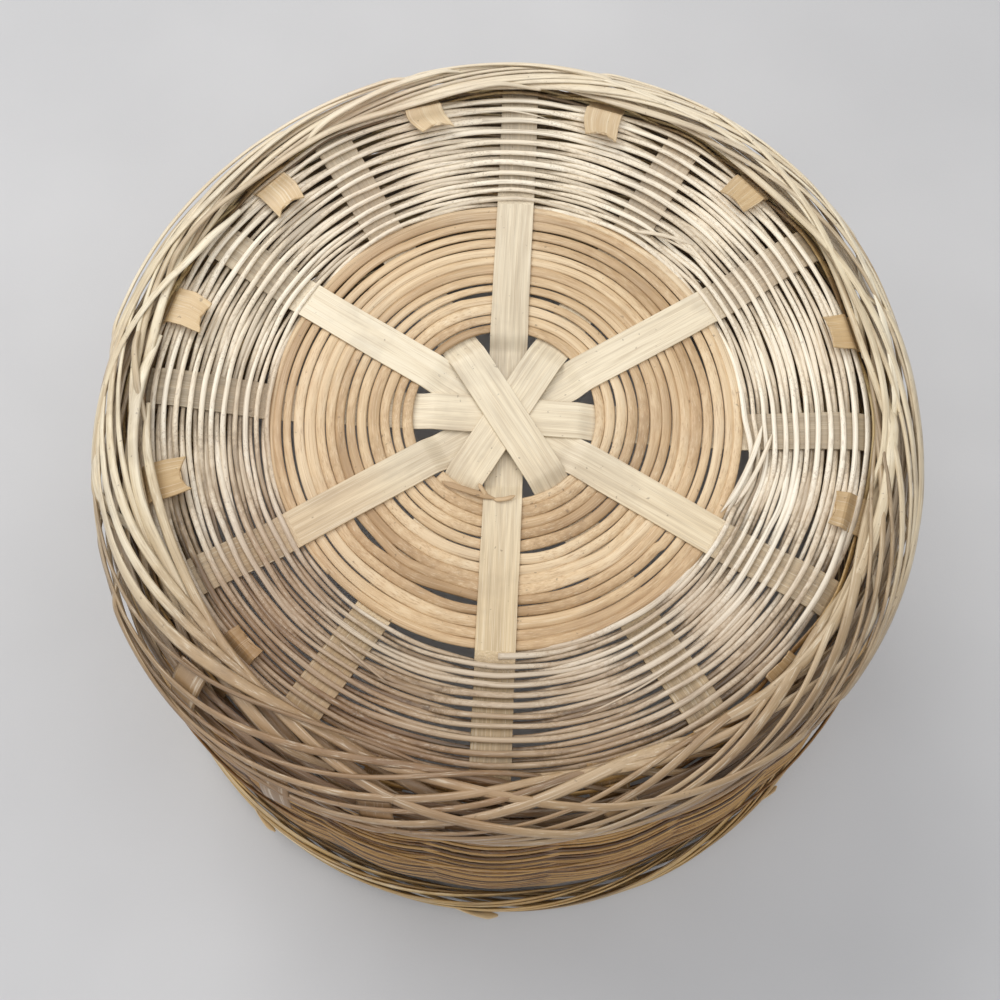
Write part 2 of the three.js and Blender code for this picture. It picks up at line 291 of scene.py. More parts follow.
finishes = {
    "strip": bambooMaterial("straw_strip", lookOf(
        fibreAlong=34.0, fibreAcross=46.0, streakAcross=9.0, grey=0.22, greyFrom=0.54, blush=0.25,
        lines=0.42, lineColour=(0.46, 0.32, 0.18), stain=0.9, stainColour=(0.78, 0.66, 0.48),
        roughness=0.34, relief=0.07 * mm,
        tones=[(0.0, (0.36, 0.29, 0.2)), (0.3, (0.56, 0.46, 0.32)),
               (0.6, (0.82, 0.71, 0.52)), (1.0, (0.93, 0.85, 0.68))])),
    "stake": bambooMaterial("golden_stake", lookOf(
        fibreAlong=34.0, fibreAcross=40.0, streakAcross=8.0, grey=0.1, blush=0.2,
        lines=0.35, lineColour=(0.5, 0.33, 0.16), relief=0.07 * mm,
        tones=[(0.0, (0.52, 0.35, 0.17)), (0.5, (0.72, 0.54, 0.3)), (1.0, (0.84, 0.7, 0.45))])),
    "reed": bambooMaterial("warm_reed", lookOf(
        fibreAlong=26.0, fibreAcross=24.0, streakAcross=5.0, grey=0.12, blush=0.25,
        lines=0.6, lineColour=(0.42, 0.25, 0.13), pale=0.4, paleColour=(0.84, 0.7, 0.5),
        stain=0.35, stainColour=(0.75, 0.6, 0.42), roughness=0.36,
        tones=[(0.0, (0.36, 0.22, 0.1)), (0.35, (0.58, 0.4, 0.22)),
               (0.65, (0.74, 0.55, 0.33)), (1.0, (0.84, 0.68, 0.46))])),
    "baseRods": bambooMaterial("weathered_rods", lookOf(
        fibreAlong=40.0, grey=0.25, greyFrom=0.52, blush=0.5, blushColour=(0.56, 0.38, 0.25),
        lines=0.5, pale=0.3, specks=0.3, bleachFrom=0.095, bleach=0.54, bleachColour=(0.95, 0.83, 0.64),
        stain=0.95, stainFrom=0.045, stainColour=(0.44, 0.33, 0.23), coat=0.5, roughness=0.24,
        tones=[(0.0, (0.14, 0.09, 0.05)), (0.25, (0.4, 0.3, 0.19)),
               (0.5, (0.74, 0.62, 0.46)), (0.85, (0.96, 0.89, 0.75))])),
    "wallRods": bambooMaterial("golden_rods", lookOf(
        fibreAlong=60.0, grey=0.1, blush=0.1, pale=0.2, bleach=0.1, stain=0.9, stainColour=(0.56, 0.38, 0.19),
        tones=[(0.0, (0.08, 0.04, 0.015)), (0.3, (0.26, 0.15, 0.055)),
               (0.65, (0.57, 0.39, 0.15)), (1.0, (0.88, 0.7, 0.36))])),
    "footBorder": bambooMaterial("straw_splints", lookOf(
        fibreAlong=50.0, fibreAcross=16.0, grey=0.3, lines=0.4, bleach=0.6, bleachColour=(0.95, 0.83, 0.64),
        stain=0.9, stainFrom=0.04, coat=0.35,
        tones=[(0.0, (0.26, 0.18, 0.1)), (0.3, (0.5, 0.38, 0.23)),
               (0.6, (0.74, 0.62, 0.42)), (1.0, (0.92, 0.84, 0.66))])),
    "rimBorder": bambooMaterial("golden_splints", lookOf(
        fibreAlong=50.0, grey=0.3, greyFrom=0.48, blushColour=(0.6, 0.38, 0.15), lines=0.4, pale=0.3,
        paleColour=(0.87, 0.76, 0.54), bleach=0.0, stain=0.3, stainColour=(0.75, 0.55, 0.3), coat=0.3,
        tones=[(0.0, (0.15, 0.09, 0.035)), (0.35, (0.4, 0.26, 0.1)),
               (0.65, (0.63, 0.45, 0.2)), (1.0, (0.88, 0.75, 0.52))])),
}


# Strands swept along the basket in mesh code: operators can't lay thousands of woven crossings
def sweptPiece(name, runs, section, finish, nodes):
    section = np.array(section, float)
    sides = len(section)
    turn = np.arange(sides)
    nextTurn = (turn + 1) % sides
    coords, faces, sizes, uvs, tones = [], [], [], [], []
    base = 0
    for run in runs:
        centres = onBasket(run["station"], run["angle"], run["offset"])
        out = outwardAt(run["station"], run["angle"])
        count = len(centres)
        closed = run.get("closed", False)
        if closed:
            along = np.roll(centres, -1, 0) - np.roll(centres, 1, 0)
        else:
            along = np.gradient(centres, axis=0)
        along /= np.linalg.norm(along, axis=1)[:, None]
        across = np.cross(out, along)
        across /= np.linalg.norm(across, axis=1)[:, None]
        up = np.cross(along, across)
        twist = np.broadcast_to(run.get("twist", 0.0), count)[:, None]
        across, up = across * np.cos(twist) + up * np.sin(twist), up * np.cos(twist) - across * np.sin(twist)
        halfWidth = np.broadcast_to(run["width"], count)[:, None, None] / 2
        halfThick = np.broadcast_to(run["thickness"], count)[:, None, None] / 2
        ring = (centres[:, None] + across[:, None] * section[None, :, :1] * halfWidth
                + up[:, None] * section[None, :, 1:] * halfThick)
        coords.append(ring.reshape(-1, 3))
        tones.append(np.repeat(np.broadcast_to(run["tone"], count), sides))
        here = np.arange(count if closed else count - 1)
        after = (here + 1) % count
        quads = np.stack([
            here[:, None] * sides + turn, here[:, None] * sides + nextTurn,
            after[:, None] * sides + nextTurn, after[:, None] * sides + turn], -1).reshape(-1, 4) + base
        faces.append(quads.ravel())
        sizes.append(np.full(len(quads), 4))
        steps = np.linalg.norm(np.diff(centres, axis=0, append=centres[:1]), axis=1)
        reach = np.concatenate([[0], np.cumsum(steps)]) + run.get("start", 0.0)
        u0 = np.repeat(reach[here], sides)
        u1 = np.repeat(reach[here + 1], sides)
        v0 = np.tile(turn / sides, len(here))
        v1 = v0 + 1 / sides
        uvs.append(np.stack([u0, v0, u0, v1, u1, v1, u1, v0], -1).reshape(-1, 2))
        if not closed:
            for ringStart, order in ((0, turn[::-1]), ((count - 1) * sides, turn)):
                faces.append(order + ringStart + base)
                sizes.append(np.array([sides]))
                uvs.append(np.stack([np.full(sides, run.get("start", 0.0)), order / sides], -1))
        base += count * sides
    faces = np.concatenate(faces)
    sizes = np.concatenate(sizes)
    mesh = bpy.data.meshes.new(name)
    mesh.vertices.add(base)
    mesh.vertices.foreach_set("co", np.concatenate(coords).astype(np.float32).ravel())
    mesh.loops.add(len(faces))
    mesh.loops.foreach_set("vertex_index", faces.astype(np.int32))
    mesh.polygons.add(len(sizes))
    mesh.polygons.foreach_set("loop_start", np.concatenate([[0], np.cumsum(sizes)[:-1]]).astype(np.int32))
    mesh.polygons.foreach_set("loop_total", sizes.astype(np.int32))
    mesh.update(calc_edges=True)
    mesh.uv_layers.new(name="strand").data.foreach_set("uv", np.concatenate(uvs).astype(np.float32).ravel())
    mesh.attributes.new("tone", "FLOAT", "POINT").data.foreach_set("value", np.concatenate(tones).astype(np.float32))
    mesh.polygons.foreach_set("use_smooth", np.ones(len(sizes), bool))
    mesh.validate()
    piece = bpy.data.objects.new(name, mesh)
    bpy.context.scene.collection.objects.link(piece)
    settle(piece, finish, nodes)
    return piece


def settle(piece, finish, nodes):
    piece.data.materials.clear()
    piece.data.materials.append(finishes[finish])
    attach(piece, "root")
    if nodes:
        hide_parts(*nodes)


roundSection = [(-1, 0), (-0.66, 0.75), (0, 1), (0.66, 0.75), (1, 0), (0.66, -0.75), (0, -1), (-0.66, -0.75)]
rodSection = [(-1, 0), (-0.75, 0.72), (0, 1), (0.75, 0.72), (1, 0), (0.7, -0.8), (-0.7, -0.8)]
reedSection = [(-1, 0.1), (-0.8, 0.75), (0, 1), (0.8, 0.75), (1, 0.1), (0.9, -0.8), (-0.9, -0.8)]


# Rows of thin weaver that swap sides at each upright and lie tilted against one another, as tiles do. Where the plan
# says pushed, the first turn holds its place and moves out late, and each further turn does so less
weaverHand = {"ease": 0.6, "widthWander": 0.12, "thicknessWander": 0.1, "twistWander": 0.35, "paintedDeepShade": 0.24}


def wovenRuns(plan, uprights, seed):
    hand = weaverHand
    rng = np.random.RandomState(seed)
    rowCount = int((plan["last"] - plan["first"]) / plan["pitch"]) + 2
    gaps = plan["pitch"] * (1 + plan["unevenness"] * rng.uniform(-1, 1, rowCount + 2))
    rows = plan["first"] + np.concatenate([[0], np.cumsum(gaps)])
    rows = rows[rows < plan["last"] + 2 * plan["pitch"]]
    widths = plan["width"] * (1 + plan["widthSpread"] * rng.uniform(-1, 1, len(rows)))
    around = np.radians(np.concatenate([uprights - 360, uprights, uprights + 360]))
    swaps = np.pi * np.arange(len(around))
    runs = []
    for parity in (0, 1):
        ownRows = rows[parity::2]
        ownWidths = widths[parity::2]
        turns = len(ownRows) - 1
        t = np.linspace(0, turns, int(turns * plan["steps"]) + 1)
        angle = 2 * np.pi * t + plan["startAngle"]
        wrapped = np.mod(angle, 2 * np.pi)
        wave = np.cos(np.interp(wrapped, around, swaps) + parity * np.pi)
        wave = np.sign(wave) * np.abs(wave) ** plan["dip"]
        turn = np.minimum(t.astype(int), turns - 1)
        eased = (t - turn) ** (1 + plan["pushed"] * hand["ease"] ** turn)
        station = ownRows[turn] + (ownRows[turn + 1] - ownRows[turn]) * eased
        station = station + wander(seed + 5 + parity, angle, (1.3, 2.7, 5.1, 11.3, 19.7), plan["drift"])
        station = partRows(station, angle, plan["gaps"])
        width = np.interp(t, np.arange(turns + 1), ownWidths)
        width = width * (1 + wander(seed + 9 + parity, angle, (3.1, 7.7, 13.9), hand["widthWander"]))
        deep = smoothStep(-wave, 0.2, 0.85)
        width = width * (1 - plan["deepNarrow"] * deep)
        thickness = plan["thickness"] * (1 + wander(seed + 12 + parity, angle, (2.3, 6.1), hand["thicknessWander"]))
        tone = plan["toneMiddle"] + wander(seed + 15 + parity, angle, (0.37, 0.9, 1.7, 2.9, 6.3), plan["toneSpread"])
        # Painted highlight and shade: a row is lighter where it rides over an upright and darker where it dips under
        # one
        tone = tone - hand["paintedDeepShade"] * deep + plan["paintedCrestLight"] * smoothStep(wave, 0.1, 0.8)
        twist = plan["tilt"] * (1 + wander(seed + 19 + parity, angle, (4.1, 9.3, 17.1), hand["twistWander"]))
        runs.append({
            "station": station, "angle": angle, "offset": plan["swing"] * wave, "width": width,
            "thickness": thickness, "tone": np.clip(tone, 0, 1), "start": 3.1 * parity, "twist": twist})
    return runs


baseWeavePlan = {
    "first": 71.3 * mm, "last": 106 * mm, "pitch": 1.6 * mm, "unevenness": 0.22, "width": 1.6 * mm,
    "widthSpread": 0.22, "thickness": 1.05 * mm, "swing": 1.35 * mm, "dip": 1.8, "steps": 240, "drift": 0.22 * mm,
    "startAngle": 4.68, "pushed": 7, "tilt": 0.14, "toneMiddle": 0.54, "toneSpread": 0.52,
    "deepNarrow": 0.12, "paintedCrestLight": 0.32, "seed": 21,
    "gaps": [
        (71, -13, 13, 8, 0, 2.9), (71, 92, 20, 6, 0, 0.7), (78, 47, 9, 4, 0.6, 0.8), (88, 118, 8, 3, 0.5, 0.5),
        (96, 150, 9, 3, 0.5, 0.6), (91, 206, 8, 3, 0.5, 0.5), (98, 296, 10, 3, 0.5, 0.6),
        (84, 341, 7, 3, 0.5, 0.5),
    ],
}


# A free splint end or fibre: a short run between two places on the basket, each a station, degrees and an offset. It
# rises between them, sweeps sideways and is narrow at both ends unless it's cut square
def looseRun(start, end, rise, width, thickness, tone, sweep=0.0, twist=0.3, tapered=True):
    share = np.linspace(0, 1, 24)
    station = start[0] + (end[0] - start[0]) * share + sweep * np.sin(np.pi * share)
    angle = np.radians(start[1] + (end[1] - start[1]) * share)
    offset = start[2] + (end[2] - start[2]) * share + rise * np.sin(np.pi * share)
    taper = np.minimum(1, 0.25 + 5 * share) * np.minimum(1, 0.2 + 4 * (1 - share)) if tapered else np.ones_like(share)
    return {
        "station": station, "angle": angle, "offset": offset, "width": width * taper,
        "thickness": thickness * (0.6 + 0.4 * taper), "tone": tone, "twist": twist * share, "start": 40 * start[0]}


looseEnds = [
    ((76.5 * mm, -3, 1.8 * mm), (69.6 * mm, -26, 1.5 * mm), 0.9 * mm, 1.7 * mm, 0.7 * mm, 0.8),
    ((79.5 * mm, -5, 1.8 * mm), (72.6 * mm, -23, 1.8 * mm), 0.9 * mm, 1.4 * mm, 0.6 * mm, 0.55),
    ((73 * mm, 57, 1.6 * mm), (81 * mm, 43, 3.2 * mm), 0.9 * mm, 1.2 * mm, 0.5 * mm, 0.35),
    ((75 * mm, 56, 1.6 * mm), (79 * mm, 40, 2.4 * mm), 0.6 * mm, 0.8 * mm, 0.4 * mm, 0.3),
    ((101 * mm, 97, 3.4 * mm), (99 * mm, 82, 3.0 * mm), 1.6 * mm, 0.5 * mm, 0.35 * mm, 0.6),
    ((90 * mm, 300, 2.0 * mm), (93 * mm, 283, 1.9 * mm), 1.0 * mm, 0.6 * mm, 0.4 * mm, 0.9),
    ((84 * mm, 236, 1.9 * mm), (88 * mm, 248, 2.1 * mm), 0.9 * mm, 0.7 * mm, 0.4 * mm, 0.85),
]
baseRuns = wovenRuns(baseWeavePlan, spokes[:spokeCount], baseWeavePlan["seed"])
baseRuns += [looseRun(*end) for end in looseEnds]
sweptPiece("base_weavers", baseRuns, rodSection, "baseRods", ["base_weave"])
print("base weave done")

allUprights = np.sort(np.concatenate([spokes[:spokeCount], stakes]))
wallWeavePlan = {
    "first": 107.2 * mm, "last": mouthStation - 13.6 * mm, "pitch": 1.54 * mm, "unevenness": 0.42, "width": 2 * mm,
    "widthSpread": 0.3, "thickness": 0.9 * mm, "swing": 1.3 * mm, "dip": 1.2, "steps": 168, "drift": 0.42 * mm,
    "startAngle": 1.9, "pushed": 0, "tilt": 0.35, "toneMiddle": 0.5, "toneSpread": 0.9,
    "deepNarrow": 0.2, "paintedCrestLight": 0.3, "gaps": [], "lengths": 3, "stopShort": 0.8 * mm, "seed": 40, "seedStep": 30,
}
wallEdges = np.linspace(wallWeavePlan["first"], wallWeavePlan["last"], wallWeavePlan["lengths"] + 1)
for length, (first, last) in enumerate(zip(wallEdges[:-1], wallEdges[1:])):
    plan = {**wallWeavePlan, "first": first, "last": last - wallWeavePlan["stopShort"]}
    runs = wovenRuns(plan, allUprights, plan["seed"] + plan["seedStep"] * length)
    sweptPiece(f"wall_weavers_{length + 1}", runs, rodSection, "wallRods", [f"wall_weave_{length + 1}"])

# Long splints that strayed out of the wall's rows
strayPlan = {
    "count": 16, "from": 12 * mm, "to": 80 * mm, "slope": 9 * mm, "late": 0.7, "turned": (30, 65),
    "startLift": 1.6 * mm, "endLift": 1.8 * mm, "rise": (0.9, 1.4), "width": (1.6, 2.6), "thickness": 0.8 * mm,
    "tone": (0.1, 1), "sweep": (-3, 3), "twist": 0.4, "seed": 77,
}


def strayRuns(plan):
    rng = np.random.RandomState(plan["seed"])
    runs = []
    for number in range(plan["count"]):
        start = footStation + rng.uniform(plan["from"], plan["to"])
        angle = 360 * (number + rng.uniform(0, plan["late"])) / plan["count"]
        end = (start + plan["slope"] * rng.uniform(-1, 1), angle + rng.uniform(*plan["turned"]), plan["endLift"])
        rise, width = rng.uniform(*plan["rise"]) * mm, rng.uniform(*plan["width"]) * mm
        tone, sweep = rng.uniform(*plan["tone"]), rng.uniform(*plan["sweep"]) * mm
        runs.append(looseRun(
            (start, angle, plan["startLift"]), end, rise, width, plan["thickness"], tone, sweep, plan["twist"]))
    return runs


# Torn ends at the rim: root and tip (mm from the border's middle, degrees, offset), then rise, width, thickness, tone
# and twist
rimEnds = [
    ((-1, 261, 9.6 * mm), (4, 269, 12.6 * mm), 0.6 * mm, 5 * mm, 0.7 * mm, 0.9, 0.9),
    ((-3, 226, 9.4 * mm), (-1, 232, 12.2 * mm), 0.6 * mm, 4 * mm, 0.6 * mm, 1.0, 0.7),
    ((-2, 313, 9.2 * mm), (1, 318, 12.0 * mm), 0.5 * mm, 3.5 * mm, 0.6 * mm, 0.8, 0.7),
]


def rimEndRun(root, tip, rise, width, thickness, tone, twist):
    start, end = ((rimStation + reach * mm, angle, offset) for reach, angle, offset in (root, tip))
    return looseRun(start, end, rise, width, thickness, tone, 0.0, twist)


sweptPiece("wall_strays", strayRuns(strayPlan), rodSection, "wallRods", [])
sweptPiece("rim_torn_ends", [rimEndRun(*end) for end in rimEnds], reedSection, "rimBorder", [])
print("wall weave done")

# The disc: one wide reed wound as a spiral, with gaps where turns have slipped apart
discPlan = {
    "first": 27.2 * mm, "last": 70.3 * mm, "turns": 14, "width": 3.2 * mm, "thickness": 1.05 * mm, "steps": 216,
    "startAngle": 3.9, "unevenness": 0.17, "drift": 0.1 * mm, "widthWander": 0.12, "swing": 0.12 * mm,
    "tilt": 0.16, "tiltWander": 0.9, "toneWander": 0.44, "lastTurn": 0.4, "narrowing": 0.8, "seed": 7,
    "gaps": [
        (55.5, 222, 12, 5, 0.9, 0.9), (56.5, 254, 13, 5, 0.9, 0.8), (52, 236, 8, 4, 0.5, 0.5),
        (44, 285, 15, 4, 0.6, 0.6), (55, 290, 14, 4, 0.6, 0.5), (50, 303, 10, 3, 0.4, 0.5),
        (39, 101, 12, 3, 0.3, 0.3), (33.5, 178, 16, 3, 0.1, 0.6), (33.5, 8, 20, 3, 0.1, 0.5),
        (62, 24, 17, 3, 0.3, 0.4), (60, 320, 12, 3, 0.3, 0.3), (49, 60, 14, 3, 0.2, 0.3),
        (65, 128, 14, 3, 0.3, 0.4),
    ],
}
# The reed's frayed start, at the eye of the disc
frayedEnds = [
    ((28.2 * mm, 228, 1.3 * mm), (26.6 * mm, 264, 1.6 * mm), 0.6 * mm, 1.8 * mm, 0.4 * mm, 0.15, -1 * mm),
    ((26.4 * mm, 258, 1.7 * mm), (23.4 * mm, 250, 2.4 * mm), 0.3 * mm, 1.4 * mm, 0.35 * mm, 0.25),
    ((26.8 * mm, 262, 1.5 * mm), (25.6 * mm, 276, 1.8 * mm), 0.4 * mm, 1.3 * mm, 0.35 * mm, 0.35, 0.4 * mm),
]


def discRuns(plan):
    rng = np.random.RandomState(plan["seed"])
    gaps = 1 + plan["unevenness"] * rng.uniform(-1, 1, plan["turns"])
    gaps[-1] *= plan["lastTurn"]
    rows = plan["first"] + (plan["last"] - plan["first"]) * np.concatenate([[0], np.cumsum(gaps)]) / gaps.sum()
    t = np.linspace(0, plan["turns"], plan["turns"] * plan["steps"] + 1)
    angle = 2 * np.pi * t + plan["startAngle"]
    station = np.interp(t, np.arange(plan["turns"] + 1), rows) + wander(3, angle, (1.1, 2.3, 4.7), plan["drift"])
    station = partRows(station, angle, plan["gaps"])
    width = plan["width"] * (1 + wander(4, angle, (0.7, 1.7, 3.9, 8.3), plan["widthWander"]))
    ending = smoothStep(t, plan["turns"] - plan["narrowing"], plan["turns"])
    width = width * (1 - (1 - plan["lastTurn"]) * ending)
    around = np.radians(np.concatenate([spokes[:spokeCount] - 360, spokes]))
    phase = np.interp(np.mod(angle, 2 * np.pi), around, np.pi * np.arange(len(around)))
    offset = plan["swing"] * np.cos(phase) + wander(9, angle, (2.9, 6.7), plan["swing"])
    tone = np.clip(0.5 + wander(5, angle, (0.31, 0.83, 1.9, 3.3), plan["toneWander"]), 0, 1)
    twist = plan["tilt"] * (1 + wander(6, angle, (1.9, 5.3), plan["tiltWander"]))
    reed = {
        "station": station, "angle": angle, "offset": offset, "width": width, "thickness": plan["thickness"],
        "tone": tone, "twist": twist}
    return [reed] + [looseRun(*end) for end in frayedEnds]


sweptPiece("reed_disc", discRuns(discPlan), reedSection, "reed", ["disc_weaver"])
print("disc done")

# Borders: bundles of long splints that wind over and under one another. Inner, outer and bulge are in mm, in even
# steps round the ring from the right, because the hand-wound bundle is wider and looser in some places. A swell is
# its count round the ring, strength and lead; a splint is its shift along the wave and its share of the width
footBorderPlan = {
    "station": footStation, "inner": [-7.5, -6.5, -6.5, -6.5, -6, -6.5, -7, -8, -9, -8, -6.5, -6.5],
    "outer": [6.6, 9.8, 8.8, 7, 1.5, 7, 6.2, 11, 12, 9, 11, 10.6],
    "bulge": [0, 3.2, 0.8, 0, -2.4, 0.5, 0, 5, 4, 0, 3, 4.5], "depth": 2.1 * mm, "offset": 5.4 * mm, "waves": 3,
    "swells": [(1, 0.55, 0.9), (2, 0.3, 2.1)], "linger": 0.3, "width": 2.8 * mm, "thickness": 1 * mm,
    "steps": 540, "seed": 300, "splints": [(0, 1), (0.5, 0.65)],
}
rimBorderPlan = {
    "station": rimStation, "inner": [-7.2], "outer": [7.2], "bulge": [0], "depth": 3.5 * mm, "offset": 7.1 * mm,
    "waves": 3, "swells": [(1, 0.45, 0.9), (2, 0.3, 2.1)], "linger": 0.2, "width": 3.2 * mm, "thickness": 1.1 * mm,
    "steps": 540, "seed": 500, "splints": [(-0.14, 1.3), (0.26, 0.7)],
}
# How much one splint of a border may differ from the next
borderHand = {
    "lag": 0.12, "reach": (0.82, 1.04), "reachWander": 0.08, "width": (0.7, 1.3), "widthWander": 0.18,
    "thickness": (0.75, 1.1), "tone": (0.2, 0.95), "toneWander": 0.2, "paintedBorderCrestLight": 0.15, "paintedUnderSplintShade": 0.3,
    "twist": 0.3, "twistLead": 1.2, "twistWander": 0.15, "start": (0, 9),
}


def ringWander(seed, angle, strength):
    rng = np.random.RandomState(seed)
    total = sum(rng.uniform(0.5, 1) * np.sin(wave * angle + rng.uniform(0, 2 * math.pi)) for wave in (1, 2, 3, 5))
    return strength * total / 2


# Values in mm at even steps round the ring, with the corners between them rounded
def aroundRing(values, angle):
    knots = np.arange(len(values)) * 2 * np.pi / len(values)
    lags = (-0.3, -0.15, 0, 0.15, 0.3)
    return sum(np.interp(angle + lag, knots, values, period=2 * np.pi) for lag in lags) / len(lags) * mm


def borderRuns(plan, strand):
    hand = borderHand
    runs = []
    angle = np.linspace(0, 2 * np.pi, plan["steps"], endpoint=False)
    shared = plan["waves"] * angle
    for times, swell, lead in plan["swells"]:
        shared = shared + swell * np.sin(times * angle + lead)
    inner = aroundRing(plan["inner"], angle)
    outer = aroundRing(plan["outer"], angle)
    bulge = aroundRing(plan["bulge"], angle) / 2
    for number, (shift, share) in enumerate(plan["splints"]):
        seed = plan["seed"] + 10 * strand + number
        rng = np.random.RandomState(seed)
        phase = shared + 2 * np.pi * strand / basketForm["borderStrands"] + shift
        phase = phase + ringWander(seed + 1, angle, hand["lag"])
        phase = phase + plan["linger"] * np.cos(phase)
        half = (outer - inner) / 2 * (rng.uniform(*hand["reach"]) + ringWander(seed + 2, angle, hand["reachWander"]))
        width = rng.uniform(*hand["width"]) + ringWander(seed + 3, angle, hand["widthWander"])
        thickness = plan["thickness"] * rng.uniform(*hand["thickness"])
        # Painted shade: each strand's second splint is darker. Painted highlight: a splint is lighter where it rides
        # on top
        tone = rng.uniform(*hand["tone"]) - hand["paintedUnderSplintShade"] * number
        tone = tone + ringWander(seed + 4, angle, hand["toneWander"]) + hand["paintedBorderCrestLight"] * np.sin(phase)
        twist = hand["twist"] * np.sin(phase + hand["twistLead"]) + ringWander(seed + 6, angle, hand["twistWander"])
        runs.append({
            "station": plan["station"] + (outer + inner) / 2 + half * np.cos(phase), "angle": angle,
            "offset": plan["offset"] + bulge + (plan["depth"] + bulge) * np.sin(phase),
            "width": plan["width"] * share * width, "thickness": thickness, "closed": True,
            "tone": np.clip(tone, 0, 1), "twist": twist, "start": rng.uniform(*hand["start"])})
    return runs


# The longest splints of the foot border, on top: first and last degrees, width in mm, tone, and the reach in mm from
# the border's middle at even steps of angle
topSplints = [
    (8, 96, 3.1, 0.85, [-6, -5.5, -4, -3, -3, 0, 4]),
    (-8, 82, 3.2, 0.8, [-3, -3, 0, 2, 3, 4.5, 5]),
    (-16, 64, 2.6, 0.6, [-6.5, -5, -6, -6, -4, 0, 4]),
    (20, 70, 3, 0.88, [4, 6, 6.5, 6, 4]),
    (-50, 22, 3.3, 0.62, [8, 8, 7, 5.5, 3.5, 2, -2.5]),
    (-62, 4, 3.8, 0.66, [-6, -5.5, -4.5, -5, -4.5, -3]),
    (272, 337, 2.7, 0.85, [-7, -6.5, -4.5, -2, 2, 0.5]),
    (245, 319, 2.8, 0.66, [-6, -6.5, -4.5, -1, 2.5, 5, 8]),
    (180, 287, 3, 0.62, [-8.5, -9.5, -9, -7.5, -2, 1, 7.5]),
    (142, 202, 3.2, 0.85, [-9, -8, -3.5, 2.5, 4, -3.5]),
    (168, 246, 3.8, 0.8, [-8, -6.5, -6.5, -7.5, -6.5, -3.5, 0]),
    (200, 262, 2.2, 0.3, [3, 7, 9, 10, 9, 7]),
    (190, 240, 2.6, 0.15, [6, 10, 12, 13, 12]),
    (300, 348, 2.4, 0.45, [12, 13, 12, 10, 6]),
    (84, 163, 2.2, 0.36, [-6, -8, -9, -8, -8, -5.5, -5]),
    (82, 178, 3.4, 0.75, [3, 1.5, 0.5, -3, -3.5, 1, 6]),
    (92, 128, 2.8, 0.8, [3, -2, -3.5, -5, -6]),
    (100, 175, 3, 0.72, [1.5, 0, 1.5, 3.5, 5, 5]),
    (120, 200, 2.6, 0.5, [1, -1, -2, 0, 3, 5]),
    (66, 112, 2.8, 0.6, [-3, -1, 1, 1, 1]),
    (163, 186, 2.2, 0.4, [-3, -6, -9]),
]
topPlan = {
    "lift": 8.6 * mm, "dive": 4.4 * mm, "diveAngle": 9, "stagger": 0.5 * mm, "fallAway": 0.03 / mm,
    "bulgeFrom": -4 * mm, "bulgeTo": 5 * mm, "sway": 0.25 * mm, "thickness": 1 * mm, "toneWander": 0.1,
    "twistWander": 0.12, "stepsPerDegree": 3, "roundedShare": 8, "seed": 900,
}


def topRun(number, first, last, width, tone, reaches):
    plan = topPlan
    seed = plan["seed"] + number
    count = int((last - first) * plan["stepsPerDegree"])
    degrees = np.linspace(first, last, count)
    angle = np.radians(degrees)
    share = np.linspace(0, len(reaches) - 1, count)
    reach = np.interp(share, np.arange(len(reaches)), reaches) * mm
    rounded = count // plan["roundedShare"]
    smooth = np.hanning(2 * rounded + 1)
    reach = np.convolve(np.pad(reach, rounded, mode="edge"), smooth / smooth.sum(), mode="valid")
    reach = reach + wander(seed, degrees, (0.09, 0.2), plan["sway"])
    onTop = smoothStep(np.minimum(degrees - first, last - degrees), 0, plan["diveAngle"])
    outside = smoothStep(reach, plan["bulgeFrom"], plan["bulgeTo"])
    offset = plan["lift"] - plan["dive"] * (1 - onTop) + plan["stagger"] * (number % 3 - 1)
    offset = offset - plan["fallAway"] * reach ** 2 * onTop
    offset = offset + aroundRing(footBorderPlan["bulge"], angle) * onTop * outside
    tone = tone + wander(seed + 30, degrees, (0.05, 0.13), plan["toneWander"])
    return {
        "station": footStation + reach, "angle": angle, "offset": offset,
        "width": width * mm * (0.55 + 0.45 * onTop), "thickness": plan["thickness"],
        "tone": np.clip(tone, 0, 1), "twist": wander(seed + 60, degrees, (0.05, 0.11), plan["twistWander"]),
        "start": 1.7 * number}


# Dark short-split rows packed in beneath them, which close the border towards the wall
edgePlan = {
    "rows": 5, "first": 1.6 * mm, "pitch": 2.1 * mm, "sway": 0.9 * mm, "offset": 3.1 * mm, "bulgeShare": 0.6,
    "liftWander": 0.3 * mm, "width": 2.7 * mm, "thickness": 1 * mm, "tone": 0.3, "toneWander": 0.25,
    "twistWander": 0.25, "steps": 360, "seed": 830, "seedStep": 7,
}


def edgeRun(number):
    plan = edgePlan
    seed = plan["seed"] + plan["seedStep"] * number
    angle = np.linspace(0, 2 * np.pi, plan["steps"], endpoint=False)
    bulge = aroundRing(footBorderPlan["bulge"], angle) * plan["bulgeShare"]
    return {
        "station": footStation + plan["first"] + plan["pitch"] * number + ringWander(seed, angle, plan["sway"]),
        "angle": angle, "offset": plan["offset"] + bulge + ringWander(seed + 1, angle, plan["liftWander"]),
        "width": plan["width"], "thickness": plan["thickness"], "closed": True,
        "tone": np.clip(plan["tone"] + ringWander(seed + 2, angle, plan["toneWander"]), 0, 1),
        "twist": ringWander(seed + 3, angle, plan["twistWander"]), "start": 2.3 * number}


topRuns = [topRun(number, *splint) for number, splint in enumerate(topSplints)]
sweptPiece("foot_top_splints", topRuns, roundSection, "footBorder", [])
edgeRuns = [edgeRun(number) for number in range(edgePlan["rows"])]
sweptPiece("foot_edge_rows", edgeRuns, roundSection, "baseRods", [])

